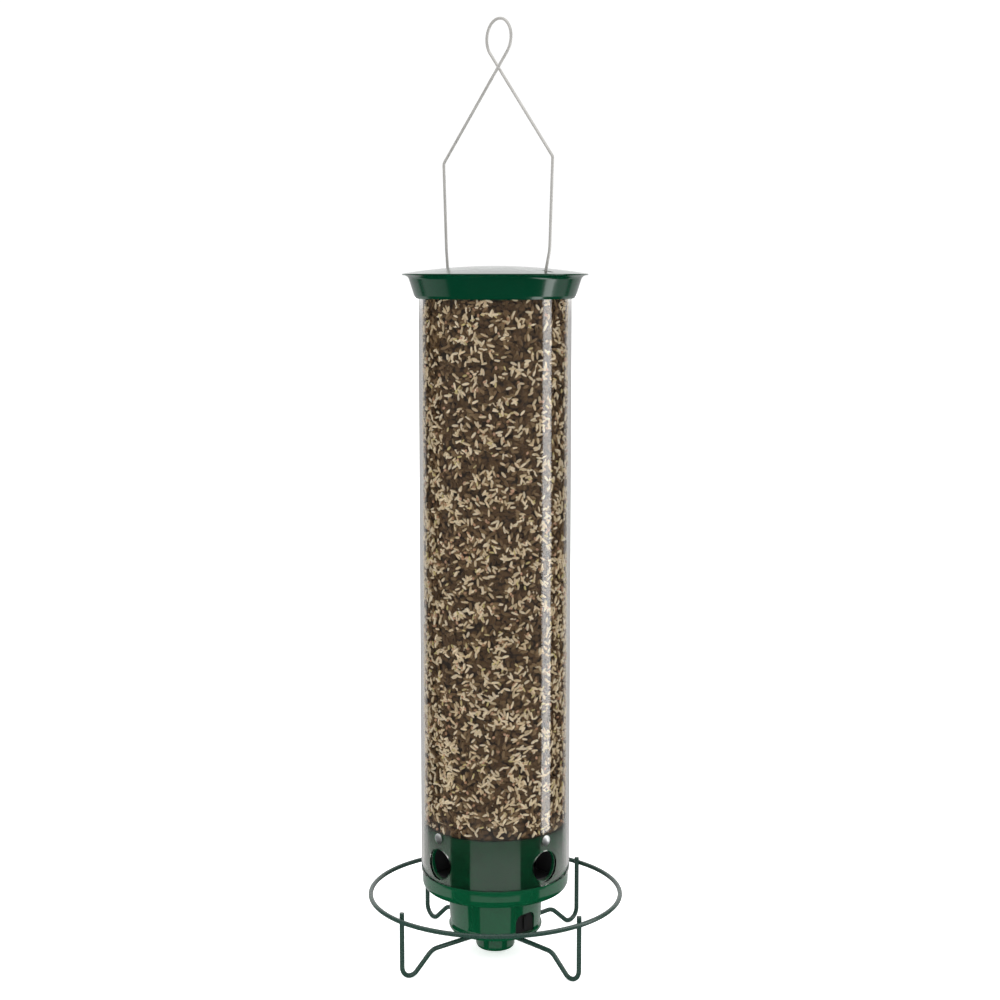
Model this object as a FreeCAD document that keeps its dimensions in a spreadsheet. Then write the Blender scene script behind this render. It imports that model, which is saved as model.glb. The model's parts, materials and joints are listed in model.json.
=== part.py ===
import FreeCAD, Part
import math
import os
import Sketcher
from FreeCAD import Placement, Rotation, Vector

# Hanging tube feeder for seed, with a weight-tripped, motor-turned wire perch under it.
# Millimetres. Z is up, the origin is under the four wire feet on the tube's axis.
# The feeding ports, the perch legs and the wire bail stand on the X and Y axes.

SIZES = {
    # Clear tube
    "tube_outer": 127.0,
    "tube_wall": 2.0,
    "tube_length": 505.5,
    # Gaps, and how far the tip of a blind screw stays from the end of its hole
    "assembly_gap": 0.3,
    "running_gap": 0.04,
    "hook_play": 0.25,
    "blind_floor": 0.6,
    "tip_gap": 0.2,
    # Shanks of the machine screws
    "flange_shank": 3.0,
    "case_shank": 2.5,
    "small_shank": 2.0,
    # Motor housing under the base
    "housing_low": 21.8,
    "housing_height": 35.8,
    "housing_top_width": 81.2,
    "housing_low_width": 77.6,
    "housing_wall": 2.4,
    "bead_height": 6.2,
    "bead_proud": 1.2,
    "flange_reach": 6.4,
    "flange_thick": 2.8,
    "flange_screw_share": 0.55,
    "cover_thick": 2.8,
    "cover_ledge": 5.2,
    "cover_ledge_thick": 3.0,
    "cover_screw_head": 5.6,
    "cover_screw_sink": 1.7,
    "cover_screw_inset": 0.6,
    "post_hole": 6.0,
    # Feeding base
    "skirt_height": 16.4,
    "skirt_inset": 0.75,
    "skirt_draft": 0.5,
    "skirt_corner": 7.0,
    "skirt_wall": 3.9,
    "base_floor": 3.0,
    "collar_height": 42.0,
    "collar_wall": 2.6,
    "ledge_width": 3.4,
    "ledge_rise": 3.0,
    "ledge_thick": 2.0,
    "port_width": 25.4,
    "port_margin": 0.5,
    "port_rise": 16.3,
    "baffle_thick": 2.0,
    "cone_width": 73.0,
    "cone_drop": 9.0,
    "cone_tip": 4.0,
    "hood_clearance": 0.7,
    "hood_wall": 1.6,
    "hood_inner_reach": 37.0,
    "rib_width": 2.4,
    "rib_reach": 45.0,
    # Tube screws
    "tube_screw_rise": 38.7,
    "tube_screw_head": 8.8,
    "tube_screw_dome": 2.2,
    "tube_screw_rim": 0.15,
    "tube_screw_shank": 3.6,
    "tube_boss": 6.2,
    "tube_boss_depth": 4.0,
    # Seed
    "seed_drop": 16.5,
    "seed_sink": 7.0,
    # Cap
    "cap_lip_gap": 0.7,
    "cap_lip_wall": 1.2,
    "cap_wall": 1.9,
    "cap_skirt": 19.0,
    "cap_skirt_drop": 3.0,
    "cap_lip_flare": 1.4,
    "cap_lip_rise": 2.2,
    "cap_brim_lift": 0.1,
    "cap_brim_edge": 0.7,
    "cap_throat_bulge": 1.5,
    "cap_throat_drop": 1.1,
    "cap_rim_inset": 4.0,
    "cap_slot_play": 0.4,
    "cap_flare": 5.8,
    "cap_brim": 13.5,
    "cap_brim_thick": 1.3,
    "cap_crown": 6.3,
    "cap_travel": 30.0,
    # Bail
    "bail_wire": 2.4,
    "bail_tip": 0.5,
    "bail_first_rise": 1.0,
    "bail_foot_bend": 8.0,
    "bail_neck_bend": 25.0,
    "bail_hook_drop": 12.0,
    "bail_neck_rise": 20.5,
    "bail_neck_reach": 0.3,
    "bail_shoulder_rise": 93.5,
    "bail_shoulder_reach": 3.4,
    "bail_shift": 1.6,
    "bail_shoulder_turn": 5.0,
    "bail_cross_rise": 166.4,
    "bail_cross_shift": 4.6,
    "loop_width": 32.2,
    "loop_pitch": 2.976,
    # Perch
    "ring_width": 214.4,
    "ring_rise": 52.3,
    "ring_wire": 4.0,
    "leg_wire": 4.0,
    "leg_top": 58.0,
    "leg_rise": 18.4,
    "leg_slope": 40.0,
    "leg_root": 6.5,
    "knee_bend": 14.0,
    "foot_bend": 9.5,
    "knob_width": 33.4,
    "knob_low": 3.4,
    "knob_gap": 0.8,
    "knob_corner": 4.0,
    "knob_well": 13.2,
    "knob_web": 5.8,
    "knob_plug_thick": 1.6,
    "key_width": 3.4,
    "spring_wire": 0.6,
    "spring_turns": 4,
    # Drive
    "shaft_width": 6.0,
    "shaft_flat": 2.4,
    "shaft_screw_head": 5.6,
    "shaft_screw_thick": 1.6,
    "shaft_screw_shank": 2.8,
    "shaft_screw_depth": 7.0,
    "washer_thick": 1.0,
    "bush_wall": 2.0,
    "bush_flange": 1.0,
    "bush_flange_reach": 1.5,
    "gear_module": 0.8,
    "gear_teeth": 28,
    "pinion_teeth": 12,
    "gear_lift": 1.9,
    "gear_width": 7.0,
    "gear_hub_width": 12.0,
    "plate_rise": 10.6,
    "plate_thick": 2.0,
    "plate_width": 68.0,
    "plate_cut": 20.0,
    "post_reach": 27.0,
    "post_width": 6.4,
    "motor_width": 24.0,
    "motor_height": 30.0,
    "motor_boss_width": 7.2,
    "motor_tail": 1.6,
    "motor_edge": 1.0,
    "motor_shaft_depth": 4.0,
    "motor_shaft_width": 2.0,
    "motor_screw_share": 0.7,
    "motor_screw_depth": 3.0,
    "cell_width": 14.5,
    "cell_height": 27.5,
    "cell_reach": 24.0,
    "cell_button": 5.2,
    "board_gap": 1.0,
    "board_thick": 1.6,
    "board_post_width": 4.4,
    "board_post_reach": 30.0,
    "board_post_share": 0.25,
    "board_screw_depth": 5.0,
    "board_inset": 0.6,
    "board_side_reach": 2.0,
    "relay_height": 7.0,
    "capacitor_width": 6.4,
    "capacitor_height": 7.5,
    "plug_height": 5.0,
    # Weight switch
    "plunger_reach": 14.9,
    "plunger_width": 2.4,
    "switch_length": 12.8,
    "switch_depth": 6.0,
    "switch_height": 8.2,
    "switch_inset": 2.3,
    "switch_roof": 1.6,
    "switch_travel_gap": 0.8,
    # Charging recess, socket and bung
    "recess_width": 21.0,
    "recess_low": 4.0,
    "recess_height": 17.4,
    "recess_corner": 7.0,
    "recess_back": 30.1,
    "recess_wall": 2.5,
    "recess_margin": 2.0,
    "recess_front_gap": 2.2,
    "socket_bore": 5.6,
    "socket_width": 7.0,
    "socket_depth": 8.0,
    "socket_back": 1.2,
    "socket_pin": 1.6,
    "socket_pin_inset": 2.0,
    "bung_start": 0.5,
    "bung_face": 36.6,
    "bung_rib": 1.6,
    "bung_rib_width": 2.6,
    "bung_rib_inset": 3.0,
}

doc = FreeCAD.newDocument("TubeFeeder")
sheet = doc.addObject("Spreadsheet::Sheet", "Sizes")
for row, (alias, number) in enumerate(SIZES.items(), start=1):
    sheet.set(f"A{row}", alias)
    sheet.set(f"B{row}", str(number))
    sheet.setAlias(f"B{row}", alias)
doc.recompute()


class Size:
    """A number together with the spreadsheet expression that gives it."""

    def __init__(self, value, text=None):
        self.value = float(value)
        self.text = text or repr(float(value))

    def __add__(self, other):
        return combine(self, "+", other)

    def __radd__(self, other):
        return combine(other, "+", self)

    def __sub__(self, other):
        return combine(self, "-", other)

    def __rsub__(self, other):
        return combine(other, "-", self)

    def __mul__(self, other):
        return combine(self, "*", other)

    def __rmul__(self, other):
        return combine(other, "*", self)

    def __truediv__(self, other):
        return combine(self, "/", other)

    def __neg__(self):
        return combine(0, "-", self)

    def __float__(self):
        return self.value


def as_size(number):
    return number if isinstance(number, Size) else Size(number)


def combine(left, sign, right):
    left = as_size(left)
    right = as_size(right)
    results = {
        "+": left.value + right.value,
        "-": left.value - right.value,
        "*": left.value * right.value,
        "/": left.value / right.value if right.value else 0.0,
    }
    return Size(results[sign], f"({left.text} {sign} {right.text})")


def size(alias):
    return Size(sheet.get(alias), f"Sizes.{alias}")


def root(number):
    return Size(math.sqrt(number.value), f"sqrt({number.text})")


def dome_rise(rise, reach):
    """How high a spherical dome still stands half way out from its middle."""
    ball = (reach * reach / rise + rise) / 2
    return rise - ball + root(ball * ball - reach * reach / 4)


def bind(thing, path, number):
    """Ties one property of a document object to its sizes."""
    thing.setExpression(path, as_size(number).text)


# Bodies, sketches and features


def body(label, turn=0.0):
    """A named sub-part, turned about Z by a number of degrees."""
    part = doc.addObject("PartDesign::Body", label)
    part.Label = label
    part.AllowCompound = True
    part.Placement = Placement(Vector(), Rotation(Vector(0, 0, 1), turn))
    return part


def origin_feature(part, role):
    return next(item for item in part.Origin.OriginFeatures if item.Role == role)


def sketch(part, plane, shift=(0, 0, 0)):
    """An empty sketch on an origin plane; shift is along the plane's X, Y and normal."""
    drawing = part.newObject("Sketcher::SketchObject", f"{part.Label}_sketch")
    drawing.AttachmentSupport = (origin_feature(part, plane), [""])
    drawing.MapMode = "FlatFace"
    for axis, number in zip("xyz", shift):
        bind(drawing, f"AttachmentOffset.Base.{axis}", number)
    return drawing


def hold_point(drawing, geometry, end, spot):
    """Fixes one point of a sketch at two sizes."""
    for kind, number in zip(("DistanceX", "DistanceY"), spot):
        number = as_size(number)
        index = drawing.addConstraint(
            Sketcher.Constraint(kind, -1, 1, geometry, end, number.value)
        )
        bind(drawing, f"Constraints[{index}]", number)


class Via:
    """A point that the edge between two corners bends through."""

    def __init__(self, across, up):
        self.spot = (across, up)


def flat(spot):
    return Vector(float(spot[0]), float(spot[1]), 0)


def arc(start, via, stop):
    """The arc through three points, and which of its ends, 1 or 2, is the start."""
    circle = Part.Circle(start, via, stop)
    middle = circle.Center
    angles = [math.atan2(spot.y - middle.y, spot.x - middle.x) for spot in (start, via, stop)]
    to_via = (angles[1] - angles[0]) % (2 * math.pi)
    to_stop = (angles[2] - angles[0]) % (2 * math.pi)
    whole = Part.Circle(middle, Vector(0, 0, 1), circle.Radius)
    if to_via < to_stop:
        return Part.ArcOfCircle(whole, angles[0], angles[2]), 1
    return Part.ArcOfCircle(whole, angles[2], angles[0]), 2


def outline(part, plane, points, shift=(0, 0, 0)):
    """A closed sketch through corners, with an arc wherever a Via stands between two."""
    drawing = sketch(part, plane, shift)
    corners = [spot for spot in points if not isinstance(spot, Via)]
    vias = {}
    count = -1
    for spot in points:
        if isinstance(spot, Via):
            vias[count] = spot.spot
        else:
            count += 1
    starts = []
    for index, corner in enumerate(corners):
        following = corners[(index + 1) % len(corners)]
        if index in vias:
            bend, start_end = arc(flat(corner), flat(vias[index]), flat(following))
            starts.append((drawing.addGeometry(bend), start_end))
        else:
            line = Part.LineSegment(flat(corner), flat(following))
            starts.append((drawing.addGeometry(line), 1))
    for index, corner in enumerate(corners):
        edge, end = starts[index]
        before, before_start = starts[index - 1]
        drawing.addConstraint(
            Sketcher.Constraint("Coincident", before, 3 - before_start, edge, end)
        )
        hold_point(drawing, edge, end, corner)
    for index, spot in vias.items():
        point = drawing.addGeometry(Part.Point(flat(spot)), True)
        hold_point(drawing, point, 1, spot)
        drawing.addConstraint(
            Sketcher.Constraint("PointOnObject", point, 1, starts[index][0])
        )
    return drawing


def disc(part, plane, centre, radius, shift=(0, 0, 0)):
    """A sketch of one circle."""
    drawing = sketch(part, plane, shift)
    circle = Part.Circle(flat(centre), Vector(0, 0, 1), float(radius))
    edge = drawing.addGeometry(circle)
    hold_point(drawing, edge, 3, centre)
    index = drawing.addConstraint(Sketcher.Constraint("Radius", edge, float(radius)))
    bind(drawing, f"Constraints[{index}]", radius)
    return drawing


def box_outline(part, plane, low, high, shift=(0, 0, 0)):
    corners = [low, (high[0], low[1]), high, (low[0], high[1])]
    return outline(part, plane, corners, shift)


def turn(part, drawing, axis="V_Axis", cut=False):
    """A full turn of a sketch about one of its own axes, added or cut away."""
    kind = "PartDesign::Groove" if cut else "PartDesign::Revolution"
    feature = part.newObject(kind, f"{part.Label}_turn")
    feature.Profile = drawing
    feature.ReferenceAxis = (drawing, [axis])
    feature.Angle = 360
    return checked(part, feature, cut)


def pad(part, drawing, length):
    feature = part.newObject("PartDesign::Pad", f"{part.Label}_pad")
    feature.Profile = drawing
    bind(feature, "Length", length)
    return checked(part, feature, False)


def pocket(part, drawing, length=None, reverse=False, through=False):
    """A cut against the sketch's normal, or along it; through cuts both ways."""
    feature = part.newObject("PartDesign::Pocket", f"{part.Label}_pocket")
    feature.Profile = drawing
    if through:
        feature.Type = "ThroughAll"
        feature.SideType = "Symmetric"
    elif length is None:
        feature.Type = "ThroughAll"
    else:
        bind(feature, "Length", length)
    feature.Reversed = reverse
    return checked(part, feature, True)


def around(part, features, count):
    """Repeats features all the way about the part's Z axis."""
    pattern = part.newObject("PartDesign::PolarPattern", f"{part.Label}_pattern")
    pattern.Originals = features
    pattern.Axis = (origin_feature(part, "Z_Axis"), [""])
    pattern.Angle = 360
    pattern.Occurrences = count
    part.Tip = pattern
    doc.recompute()
    return pattern


def checked(part, feature, cut):
    """Recomputes, and stops if the feature left the solid as it was."""
    before = part.Shape.Volume if part.Shape and not part.Shape.isNull() else 0.0
    part.Tip = feature
    doc.recompute()
    after = part.Shape.Volume
    if (cut and after > before - 1e-3) or (not cut and after < before + 1e-3):
        raise RuntimeError(f"{feature.Name} changed nothing")
    return feature


def round_edges(part, radius, wanted):
    """A fillet on the edges whose middle point passes a test."""
    names = []
    for number, edge in enumerate(part.Shape.Edges, start=1):
        middle = edge.valueAt((edge.FirstParameter + edge.LastParameter) / 2)
        if wanted(math.hypot(middle.x, middle.y), middle.z, edge):
            names.append(f"Edge{number}")
    before = part.Tip
    feature = part.newObject("PartDesign::Fillet", f"{part.Label}_fillet")
    feature.Base = (before, names)
    bind(feature, "Radius", radius)
    part.Tip = feature
    doc.recompute()
    return feature


def solid(label, shape):
    """A sub-part whose shape is a bent wire or a coil, made from the sizes directly."""
    part = doc.addObject("Part::Feature", label)
    part.Label = label
    part.Shape = shape
    return part


def bent_wire(corners, turns, width):
    """Round wire along straight runs, with an arc of its own radius at each inner corner."""
    edges = []
    start = corners[0]
    for index in range(1, len(corners) - 1):
        corner = corners[index]
        back = (corners[index - 1] - corner).normalize()
        on = (corners[index + 1] - corner).normalize()
        half = back.getAngle(on) / 2
        cut = turns[index - 1] / math.tan(half)
        first = corner + back * cut
        last = corner + on * cut
        inward = (back + on).normalize()
        top = corner + inward * (turns[index - 1] / math.sin(half) - turns[index - 1])
        if first.distanceToPoint(start) > 1e-4:
            edges.append(Part.LineSegment(start, first).toShape())
        edges.append(Part.Arc(first, top, last).toShape())
        start = last
    edges.append(Part.LineSegment(start, corners[-1]).toShape())
    path = Part.Wire(edges)
    heading = edges[0].tangentAt(edges[0].FirstParameter)
    section = Part.Wire(Part.makeCircle(width / 2, corners[0], heading))
    rod = path.makePipeShell([section], True, True)
    expected = path.Length * math.pi * width**2 / 4
    if abs(rod.Volume / expected - 1) > 0.01:
        raise RuntimeError("the bent wire's volume isn't its section times its length")
    return rod


# Levels and radii that several pieces share

GAP = size("assembly_gap")
RUN = size("running_gap")
FRONT, RIGHT, BACK, LEFT = 0, 90, 180, 270
QUARTERS = {"front": FRONT, "right": RIGHT, "back": BACK, "left": LEFT}
# The hand-fitted wires of the perch don't all stand square to each other.
LEG_TURNS = {"front": FRONT, "right": RIGHT, "back": BACK + 3, "left": LEFT - 5}
# How far a cutting outline reaches past the surface that it cuts.
PAST = 1.0
# The inner side of the bail's hooks is bent about as tightly as the wire allows.
TIGHT_BEND = 0.525
# Bends just under the full radius leave a short straight piece between two arcs.
LOOP_BEND = 0.985
FOOT_BEND = 0.999
# How far the two wires are pressed into each other where they are welded.
WELD_SUNK = 0.1

tube_outside = size("tube_outer") / 2
tube_inside = tube_outside - size("tube_wall")
housing_low = size("housing_low")
base_low = housing_low + size("housing_height")
shoulder = base_low + size("skirt_height")
collar_top = shoulder + size("collar_height")
tube_top = shoulder + size("tube_length")
port_level = shoulder + size("port_rise")
tube_screw_level = shoulder + size("tube_screw_rise")
hook_level = tube_top - size("bail_hook_drop")

skirt_top = tube_outside - size("skirt_inset")
skirt_low = skirt_top - size("skirt_draft")
collar_outside = tube_inside - GAP
collar_inside = collar_outside - size("collar_wall")
floor_top = base_low + size("base_floor")
ledge_top = shoulder + size("ledge_rise")
baffle_top = ledge_top + size("baffle_thick")
hood_outside = collar_inside - GAP
hood_inner = size("port_width") / 2 + size("hood_clearance")
hood_outer = hood_inner + size("hood_wall")
cone_top = collar_top - size("cone_drop")

housing_top_radius = size("housing_top_width") / 2
housing_low_radius = size("housing_low_width") / 2
flange_outside = housing_top_radius + size("flange_reach")
flange_top = floor_top + size("flange_thick")
cover_top = housing_low + size("cover_thick")
cover_radius = housing_low_radius - size("housing_wall") - GAP
ledge_radius = cover_radius - size("cover_ledge")
flange_screw_radius = housing_top_radius + size("flange_reach") * size("flange_screw_share")
cover_screw_radius = cover_radius - size("cover_ledge") / 2 - size("cover_screw_inset")

knob_top = housing_low - size("knob_gap")
knob_radius = size("knob_width") / 2
well_radius = size("knob_well") / 2
well_top = knob_top - size("knob_web")
plug_top = size("knob_low") + size("knob_plug_thick")
shaft_radius = size("shaft_width") / 2
shaft_low = plug_top + size("tip_gap") + size("shaft_screw_thick") + size("washer_thick")

gear_low = cover_top + size("gear_lift")
plate_low = cover_top + size("plate_rise")
plate_top = plate_low + size("plate_thick")
bush_radius = shaft_radius + size("bush_wall")
shaft_bore = shaft_radius + RUN
gear_radius = size("gear_module") * size("gear_teeth") / 2
pinion_radius = size("gear_module") * size("pinion_teeth") / 2
motor_reach = gear_radius + pinion_radius
motor_radius = size("motor_width") / 2
motor_bore = size("motor_shaft_width") / 2
motor_boss = size("motor_boss_width") / 2
cell_radius = size("cell_width") / 2
cell_top = plate_top + size("cell_height")
board_low = cell_top + size("board_gap")
board_top = board_low + size("board_thick")
switch_low = plate_low - size("switch_height")
plunger_radius = size("plunger_width") / 2
recess_low = housing_low + size("recess_low")
recess_top = recess_low + size("recess_height")
recess_half = size("recess_width") / 2
recess_back = size("recess_back")
socket_level = (recess_low + recess_top) / 2
flange_shank = size("flange_shank") / 2
case_shank = size("case_shank") / 2
small_shank = size("small_shank") / 2
tube_screw_shank = size("tube_screw_shank") / 2
POST_TURNS = (60, 180, 300)
CELL_TURNS = (74, 37, -37, -74)


def make_seed_tube():
    part = body("seed_tube")
    wall = box_outline(part, "XZ_Plane", (tube_inside, shoulder), (tube_outside, tube_top))
    turn(part, wall)
    port = size("port_width") / 2 + size("port_margin")
    hook = size("bail_wire") / 2 + size("hook_play")
    for plane in ("XZ_Plane", "YZ_Plane"):
        pocket(part, disc(part, plane, (0, port_level), port), through=True)
        screw_hole = disc(part, plane, (0, tube_screw_level), tube_screw_shank)
        pocket(part, screw_hole, through=True)
    pocket(part, disc(part, "YZ_Plane", (0, hook_level), hook), through=True)


def make_feeding_base():
    part = body("feeding_base")
    wall_inside = skirt_low - size("skirt_wall")
    ledge_inside = collar_inside - size("ledge_width")
    ledge_low = ledge_top - size("ledge_thick")
    profile = [
        (housing_top_radius + GAP, base_low),
        (skirt_low, base_low),
        (skirt_top, shoulder),
        (collar_outside, shoulder),
        (collar_outside, collar_top),
        (collar_inside, collar_top),
        (collar_inside, ledge_top),
        (ledge_inside, ledge_top),
        (ledge_inside, ledge_low),
        (wall_inside, ledge_low - wall_inside + ledge_inside),
        (wall_inside, floor_top),
        (housing_top_radius + GAP, floor_top),
    ]
    turn(part, outline(part, "XZ_Plane", profile))
    corner = float(skirt_low)
    low = float(base_low)
    round_edges(
        part,
        size("skirt_corner"),
        lambda reach, level, edge: abs(level - low) < 1e-3 and abs(reach - corner) < 1e-3,
    )
    boss_start = collar_inside - size("tube_boss_depth")
    boss = disc(
        part,
        "XZ_Plane",
        (0, tube_screw_level),
        size("tube_boss") / 2,
        (0, 0, boss_start),
    )
    feature = pad(part, boss, size("tube_boss_depth") + size("collar_wall") / 2)
    around(part, [feature], 4)
    for plane in ("XZ_Plane", "YZ_Plane"):
        port = size("port_width") / 2
        pocket(part, disc(part, plane, (0, port_level), port), through=True)
        screw_hole = disc(part, plane, (0, tube_screw_level), tube_screw_shank)
        pocket(part, screw_hole, through=True)
    diagonal = flange_screw_radius * math.sqrt(0.5)
    hole = disc(part, "XY_Plane", (diagonal, diagonal), flange_shank, (0, 0, floor_top))
    feature = pocket(part, hole, size("base_floor") - size("blind_floor"))
    around(part, [feature], 4)


def make_seed_baffle():
    part = body("seed_baffle")
    cone_foot = size("cone_width") / 2
    thick = size("baffle_thick")
    tip = size("cone_tip")
    profile = [
        (collar_inside - GAP, ledge_top),
        (collar_inside - GAP, baffle_top),
        (cone_foot, baffle_top),
        (tip, cone_top),
        (0, cone_top),
        (0, cone_top - thick),
        (tip - thick / 2, cone_top - thick),
        (cone_foot - thick / 2, ledge_top),
    ]
    turn(part, outline(part, "XZ_Plane", profile))


def make_port_hood(name, angle):
    """An arched hood behind a port, with a rib that stops seed pouring through it."""
    part = body(f"port_hood_{name}", angle)
    start = size("hood_inner_reach")
    reach = hood_outside - start
    arch = [
        (-hood_outer, baffle_top),
        (-hood_outer, port_level),
        Via(0, port_level + hood_outer),
        (hood_outer, port_level),
        (hood_outer, baffle_top),
        (hood_inner, baffle_top),
        (hood_inner, port_level),
        Via(0, port_level + hood_inner),
        (-hood_inner, port_level),
        (-hood_inner, baffle_top),
    ]
    pad(part, outline(part, "XZ_Plane", arch, (0, 0, start)), reach)
    back = [
        (-hood_outer, port_level),
        Via(0, port_level + hood_outer),
        (hood_outer, port_level),
    ]
    pad(part, outline(part, "XZ_Plane", back, (0, 0, start)), size("hood_wall"))
    half = size("rib_width") / 2
    rib_top = port_level + hood_inner + size("hood_wall") / 2
    rib = box_outline(
        part, "XZ_Plane", (-half, baffle_top), (half, rib_top), (0, 0, size("rib_reach"))
    )
    pad(part, rib, size("rib_width"))
    beyond = box_outline(
        part,
        "XZ_Plane",
        (hood_outside, baffle_top - PAST),
        (hood_outside + hood_outer, port_level + hood_outer + PAST),
    )
    turn(part, beyond, cut=True)


def make_tube_screws():
    """Dome-headed screws through the tube into the base's collar."""
    part = body("tube_screws")
    head = size("tube_screw_head") / 2
    shank = tube_screw_shank
    dome = size("tube_screw_dome")
    rim = size("tube_screw_rim")
    tip = collar_inside - size("tube_boss_depth") + 2 * size("tip_gap")
    profile = [
        (tip, 0),
        (tube_outside + dome, 0),
        Via(tube_outside + rim + dome_rise(dome - rim, head), head / 2),
        (tube_outside + rim, head),
        (tube_outside, head),
        (tube_outside, shank),
        (tip, shank),
    ]
    drawing = outline(part, "XZ_Plane", profile, (0, tube_screw_level, 0))
    around(part, [turn(part, drawing, "H_Axis")], 4)


def make_seed_fill():
    part = body("seed_fill")
    low = collar_top - size("seed_sink")
    profile = [
        (0, low),
        (collar_inside - tube_screw_room(), low),
        (collar_inside - tube_screw_room(), collar_top),
        (tube_inside - GAP, collar_top + GAP),
        (tube_inside - GAP, tube_top - size("seed_drop")),
        (0, tube_top - size("seed_drop")),
    ]
    turn(part, outline(part, "XZ_Plane", profile))


def tube_screw_room():
    """How far the seed stays inside the collar, past the screw bosses."""
    return size("tube_boss_depth") + GAP


def bail_foot():
    """How far out the bail stands inside the tube."""
    return tube_inside - size("bail_wire") / 2 - GAP / 3


def bail_neck(side):
    return tube_outside + size("bail_neck_reach") + side * size("bail_shift")


def bail_reach(rise, side):
    """How far out an upright of the bail is, at a height above the tube's top."""
    neck = bail_neck(side)
    if float(rise) < float(size("bail_neck_rise")):
        return bail_foot() + (neck - bail_foot()) * rise / size("bail_neck_rise")
    above = rise - size("bail_neck_rise")
    spread = size("bail_shoulder_reach") - size("bail_neck_reach")
    return neck + spread * above / (size("bail_shoulder_rise") - size("bail_neck_rise"))


def make_bail_wire():
    """One wire: a hook in each side of the tube, two uprights and a crossed loop on top."""
    top = float(tube_top)
    hook = float(hook_level)
    foot = float(bail_foot())
    tip = float(tube_outside + size("bail_tip"))
    wire = float(size("bail_wire"))
    radius = float(size("loop_width")) / 2
    shoulder_rise = float(size("bail_shoulder_rise"))
    neck_rise = float(size("bail_neck_rise"))
    first = top + float(size("bail_first_rise"))

    def upright(side):
        reaches = [tip, foot, foot, float(bail_neck(side))]
        reaches.append(float(bail_reach(size("bail_shoulder_rise"), side)))
        levels = [hook, hook, first, top + neck_rise, top + shoulder_rise]
        return [Vector(side * reach, 0, level) for reach, level in zip(reaches, levels)]

    right = upright(1)
    left = upright(-1)
    cross = Vector(float(size("bail_cross_shift")), 0, top + float(size("bail_cross_rise")))
    half_angle = (right[-1] - cross).getAngle(left[-1] - cross) / 2
    eye = cross + Vector(0, 0, radius / math.sin(half_angle))
    arms = 4
    turned = math.pi + 2 * half_angle
    step = turned / arms
    spread = radius / math.cos(step / 2)
    opening = math.pi / 2 + turned / 2 - step / 2
    ring = []
    for index in range(arms):
        angle = opening - index * step
        aside = float(size("loop_pitch")) * (0.5 - index / (arms - 1))
        ring.append(eye + Vector(spread * math.cos(angle), aside, spread * math.sin(angle)))
    hook_bend = TIGHT_BEND * wire
    bends = [hook_bend]
    for alias in ("bail_foot_bend", "bail_neck_bend", "bail_shoulder_turn"):
        bends.append(float(size(alias)))
    corners = [*right, *ring, *reversed(left)]
    turns = [*bends, *[radius * LOOP_BEND] * arms, *reversed(bends)]
    solid("bail_wire", bent_wire(corners, turns, wire))


def make_cap():
    part = body("cap")
    lip_low = tube_top - size("cap_skirt")
    lip_inner = tube_outside + size("cap_lip_gap")
    lip_outer = lip_inner + size("cap_lip_wall")
    lip_flare = size("cap_lip_flare")
    lip_shoulder = lip_low + size("cap_lip_rise")
    skirt_outer = lip_outer + size("cap_flare")
    brim = tube_outside + size("cap_brim")
    edge = brim - size("cap_brim_edge")
    brim_low = tube_top + size("cap_brim_lift")
    brim_top = brim_low + size("cap_brim_thick")
    wall = size("cap_wall")
    seat = tube_top + GAP
    crown = brim_top + size("cap_crown")
    under = tube_inside - size("cap_rim_inset")
    profile = [
        (lip_inner, lip_low),
        (lip_outer, lip_low),
        (lip_outer + lip_flare, lip_shoulder),
        (skirt_outer, tube_top - size("cap_skirt_drop")),
        Via(skirt_outer + size("cap_throat_bulge"), brim_low - size("cap_throat_drop")),
        (edge, brim_low),
        Via(brim, (brim_low + brim_top) / 2),
        (edge, brim_top),
        Via(edge / 2, brim_top + dome_rise(size("cap_crown"), edge)),
        (0, crown),
        (0, crown - wall),
        Via(under / 2, seat + dome_rise(crown - wall - seat, under)),
        (under, seat),
        (skirt_outer - wall, seat),
        (lip_inner + lip_flare, lip_shoulder),
    ]
    turn(part, outline(part, "XZ_Plane", profile))
    wire = size("bail_wire") / 2
    half = wire + size("cap_slot_play")
    inner = bail_foot() - half
    outer = bail_reach(crown - tube_top + size("cap_travel"), 1) + half
    for side in (1, -1):
        slot = [
            (side * inner, -half),
            (side * outer, -half),
            Via(side * (outer + half), 0),
            (side * outer, half),
            (side * inner, half),
            Via(side * (inner - half), 0),
        ]
        drawing = outline(part, "XY_Plane", slot, (0, 0, crown + PAST))
        pocket(part, drawing, crown - seat + 2 * PAST)


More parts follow.
